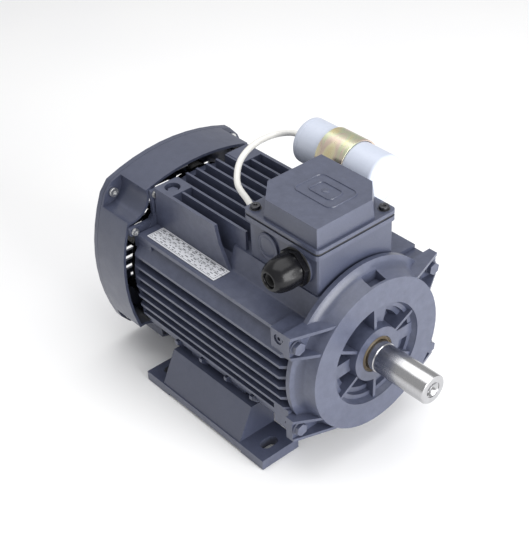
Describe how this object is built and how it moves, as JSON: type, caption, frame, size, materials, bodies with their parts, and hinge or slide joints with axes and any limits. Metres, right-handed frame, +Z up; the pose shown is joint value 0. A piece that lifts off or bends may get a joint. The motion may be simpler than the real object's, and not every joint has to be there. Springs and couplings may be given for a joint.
{
  "type": "electric motor",
  "caption": "Foot-mounted finned single-phase electric motor with terminal box, side run capacitor, fan cowl and keyed shaft.",
  "frame": {"origin": "centre of the footprint, on the plane the feet stand on", "axes": "+X out of the drive end along the shaft, +Z up, -Y the side of the nameplate shelf"},
  "size_m": [0.3096, 0.176, 0.2149],
  "materials": {
    "paint": "satin blue-grey enamel",
    "zinc": "bright zinc plate",
    "steel": "turned and ground",
    "yellow_zinc": "yellow passivated zinc plate",
    "aluminium": "satin",
    "laminations": "stacked sheet, dull",
    "copper": "varnished winding",
    "black_plastic": "moulded polyamide",
    "white_plastic": "moulded",
    "grey_plastic": "moulded",
    "rubber": "matt",
    "brass": "plain"
  },
  "bodies": {
    "frame": {"boss_screw": "paint", "capacitor_boot": "grey_plastic", "capacitor_can": "white_plastic", "capacitor_clamp": "yellow_zinc", "capacitor_lead": "white_plastic", "clamp_screw": "zinc", "cover_screw_1": "zinc", "cover_screw_2": "zinc", "drive_end_screw_1": "paint", "drive_end_screw_2": "paint", "drive_end_screw_3": "paint", "drive_end_screw_4": "paint", "drive_end_shield": "paint", "earth_screw": "zinc", "fan_cover": "paint", "fan_cover_screw_1": "zinc", "fan_cover_screw_2": "zinc", "fan_cover_screw_3": "zinc", "fan_cover_screw_4": "zinc", "fan_grille": "paint", "foot_bolt_1": "zinc", "foot_bolt_2": "zinc", "foot_bolt_3": "zinc", "foot_bolt_4": "zinc", "front_bearing_outer": "steel", "gland_body": "black_plastic", "gland_nut": "black_plastic", "grille_screw_1": "zinc", "grille_screw_2": "zinc", "grille_screw_3": "zinc", "grille_screw_4": "zinc", "housing": "paint", "lead_grommet": "black_plastic", "left_foot": "paint", "nameplate": "aluminium", "rear_bearing_outer": "steel", "rear_end_screw_1": "zinc", "rear_end_screw_2": "zinc", "rear_end_screw_3": "zinc", "rear_end_screw_4": "zinc", "rear_end_shield": "paint", "right_foot": "paint", "shaft_seal": "rubber", "stator_core": "laminations", "stator_winding_front": "copper", "stator_winding_rear": "copper", "terminal_board": "black_plastic", "terminal_box": "paint", "terminal_box_cover": "paint", "terminal_box_gasket": "rubber", "terminal_link_1": "brass", "terminal_link_2": "brass", "terminal_link_3": "brass"},
    "rotor": {"shaft": "steel", "shaft_key": "steel", "rotor_core": "aluminium", "fan": "black_plastic", "fan_circlip": "steel", "front_bearing_inner": "steel", "rear_bearing_inner": "steel"}
  },
  "joints": [
    {"name": "rotor_spin", "type": "hinge", "parent": "frame", "child": "rotor", "pos_m": [0, 0, 0.09], "axis": [1, 0, 0], "continuous": true}
  ]
}
